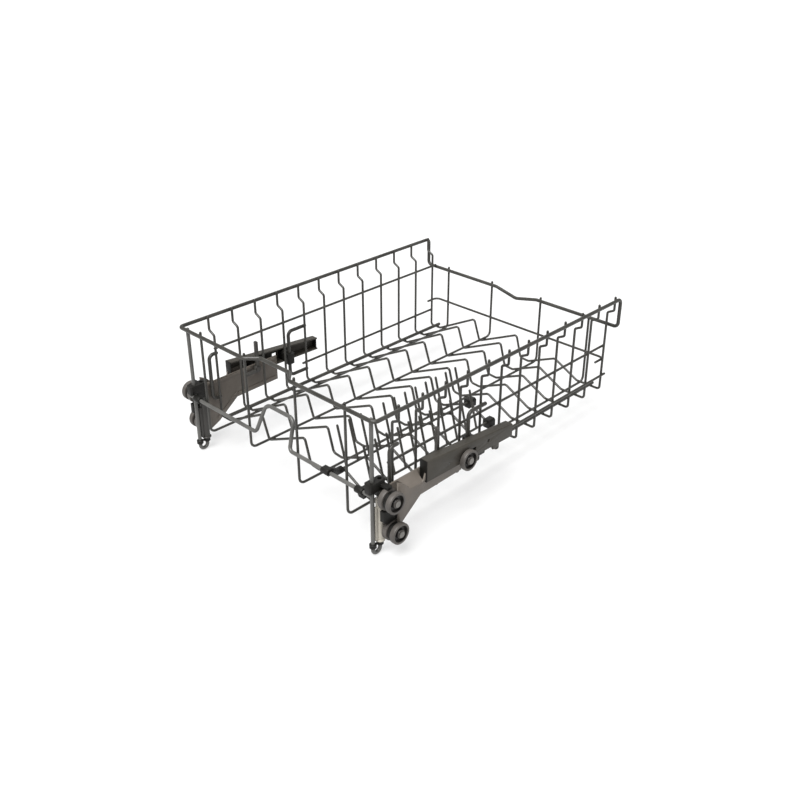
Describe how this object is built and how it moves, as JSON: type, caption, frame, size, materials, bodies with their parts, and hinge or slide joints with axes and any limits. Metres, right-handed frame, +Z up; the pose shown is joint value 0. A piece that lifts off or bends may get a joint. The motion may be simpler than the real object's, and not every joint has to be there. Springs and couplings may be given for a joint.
{
  "type": "dishwasher basket",
  "caption": "Coated wire upper basket of a slim dishwasher with a sawtooth floor, fold-down plate tines and height-adjusting wheel carriages on both sides.",
  "frame": {"origin": "centre of the overall box, at the bottom of the two foot loops", "axes": "X across the basket, +Y toward the door end, +Z up"},
  "size_m": [0.397, 0.4864, 0.1885],
  "materials": {
    "coated_wire": "satin nylon coating over steel wire",
    "grey_sheet": "satin",
    "steel": "bright",
    "wheel_plastic": "moulded",
    "pale_plastic": "moulded",
    "lever_plastic": "moulded",
    "dark_plastic": "moulded"
  },
  "bodies": {
    "basket": {"cross_wire_01": "coated_wire", "cross_wire_02": "coated_wire", "cross_wire_03": "coated_wire", "cross_wire_04": "coated_wire", "cross_wire_05": "coated_wire", "cross_wire_06": "coated_wire", "cross_wire_07": "coated_wire", "cross_wire_08": "coated_wire", "cross_wire_09": "coated_wire", "cross_wire_10": "coated_wire", "cross_wire_11": "coated_wire", "cross_wire_12": "coated_wire", "floor_wire_1": "coated_wire", "floor_wire_2": "coated_wire", "floor_wire_3": "coated_wire", "floor_wire_4": "coated_wire", "foot_stops": "dark_plastic", "front_rail": "coated_wire", "guide_posts": "pale_plastic", "left_comb_clip": "dark_plastic", "left_guide_leg": "coated_wire", "left_hanger_bar": "coated_wire", "left_ledge_rail": "coated_wire", "left_low_rail": "coated_wire", "left_mid_rail": "coated_wire", "rail_clip": "dark_plastic", "rail_sleeves": "dark_plastic", "rear_rail": "coated_wire", "right_comb_front_clip": "dark_plastic", "right_comb_rear_clip": "dark_plastic", "right_guide_leg": "coated_wire", "right_hanger_bar": "coated_wire", "right_ledge_rail": "coated_wire", "right_low_rail": "coated_wire", "right_mid_rail": "coated_wire", "rim_wire": "coated_wire"},
    "left_carriage": {"left_rail_channel": "grey_sheet", "left_rear_bracket": "grey_sheet", "left_guide_block": "dark_plastic", "left_front_runner": "dark_plastic", "left_axles": "steel"},
    "left_upper_outer_wheel": {"left_upper_outer_wheel": "wheel_plastic"},
    "left_upper_inner_wheel": {"left_upper_inner_wheel": "wheel_plastic"},
    "left_lower_outer_wheel": {"left_lower_outer_wheel": "wheel_plastic"},
    "left_lower_inner_wheel": {"left_lower_inner_wheel": "wheel_plastic"},
    "left_middle_wheel": {"left_middle_wheel": "wheel_plastic"},
    "left_release_lever": {"left_release_lever": "lever_plastic"},
    "left_tine_comb": {"left_tine_comb": "coated_wire"},
    "right_carriage": {"right_rail_channel": "grey_sheet", "right_rear_bracket": "grey_sheet", "right_guide_block": "dark_plastic", "right_front_runner": "dark_plastic", "right_axles": "steel"},
    "right_upper_outer_wheel": {"right_upper_outer_wheel": "wheel_plastic"},
    "right_upper_inner_wheel": {"right_upper_inner_wheel": "wheel_plastic"},
    "right_lower_outer_wheel": {"right_lower_outer_wheel": "wheel_plastic"},
    "right_lower_inner_wheel": {"right_lower_inner_wheel": "wheel_plastic"},
    "right_middle_wheel": {"right_middle_wheel": "wheel_plastic"},
    "right_release_lever": {"right_release_lever": "lever_plastic"},
    "right_tine_comb": {"right_tine_comb": "coated_wire"}
  },
  "joints": [
    {"name": "left_carriage_lift", "type": "slide", "parent": "basket", "child": "left_carriage", "axis": [0, 0, 1], "range_m": [0, 0.025]},
    {"name": "left_upper_outer_wheel_turn", "type": "hinge", "parent": "left_carriage", "child": "left_upper_outer_wheel", "pos_m": [-0.19, -0.22171, 0.0802], "axis": [1, 0, 0], "continuous": true},
    {"name": "left_upper_inner_wheel_turn", "type": "hinge", "parent": "left_carriage", "child": "left_upper_inner_wheel", "pos_m": [-0.19, -0.22171, 0.0802], "axis": [1, 0, 0], "continuous": true},
    {"name": "left_lower_outer_wheel_turn", "type": "hinge", "parent": "left_carriage", "child": "left_lower_outer_wheel", "pos_m": [-0.19, -0.21531, 0.0355], "axis": [1, 0, 0], "continuous": true},
    {"name": "left_lower_inner_wheel_turn", "type": "hinge", "parent": "left_carriage", "child": "left_lower_inner_wheel", "pos_m": [-0.19, -0.21531, 0.0355], "axis": [1, 0, 0], "continuous": true},
    {"name": "left_middle_wheel_turn", "type": "hinge", "parent": "left_carriage", "child": "left_middle_wheel", "pos_m": [-0.19, -0.09581, 0.0803], "axis": [1, 0, 0], "continuous": true},
    {"name": "left_release_lever_tilt", "type": "hinge", "parent": "left_carriage", "child": "left_release_lever", "pos_m": [-0.1693, -0.12651, 0.087], "axis": [1, 0, 0], "range_deg": [0, 15], "stiffness_Nm_per_rad": 0.05},
    {"name": "right_carriage_lift", "type": "slide", "parent": "basket", "child": "right_carriage", "axis": [0, 0, 1], "range_m": [0, 0.025]},
    {"name": "right_upper_outer_wheel_turn", "type": "hinge", "parent": "right_carriage", "child": "right_upper_outer_wheel", "pos_m": [0.19, -0.22171, 0.0802], "axis": [1, 0, 0], "continuous": true},
    {"name": "right_upper_inner_wheel_turn", "type": "hinge", "parent": "right_carriage", "child": "right_upper_inner_wheel", "pos_m": [0.19, -0.22171, 0.0802], "axis": [1, 0, 0], "continuous": true},
    {"name": "right_lower_outer_wheel_turn", "type": "hinge", "parent": "right_carriage", "child": "right_lower_outer_wheel", "pos_m": [0.19, -0.21531, 0.0355], "axis": [1, 0, 0], "continuous": true},
    {"name": "right_lower_inner_wheel_turn", "type": "hinge", "parent": "right_carriage", "child": "right_lower_inner_wheel", "pos_m": [0.19, -0.21531, 0.0355], "axis": [1, 0, 0], "continuous": true},
    {"name": "right_middle_wheel_turn", "type": "hinge", "parent": "right_carriage", "child": "right_middle_wheel", "pos_m": [0.19, -0.09581, 0.0803], "axis": [1, 0, 0], "continuous": true},
    {"name": "right_release_lever_tilt", "type": "hinge", "parent": "right_carriage", "child": "right_release_lever", "pos_m": [0.1693, -0.12651, 0.087], "axis": [1, 0, 0], "range_deg": [0, 15], "stiffness_Nm_per_rad": 0.05},
    {"name": "left_tine_comb_fold", "type": "hinge", "parent": "basket", "child": "left_tine_comb", "pos_m": [0.0836, -0.08821, 0.06716], "axis": [0, -1, 0], "range_deg": [0, 75]},
    {"name": "right_tine_comb_fold", "type": "hinge", "parent": "basket", "child": "right_tine_comb", "pos_m": [0.1178, -0.08821, 0.04953], "axis": [0, -1, 0], "range_deg": [0, 41]}
  ]
}
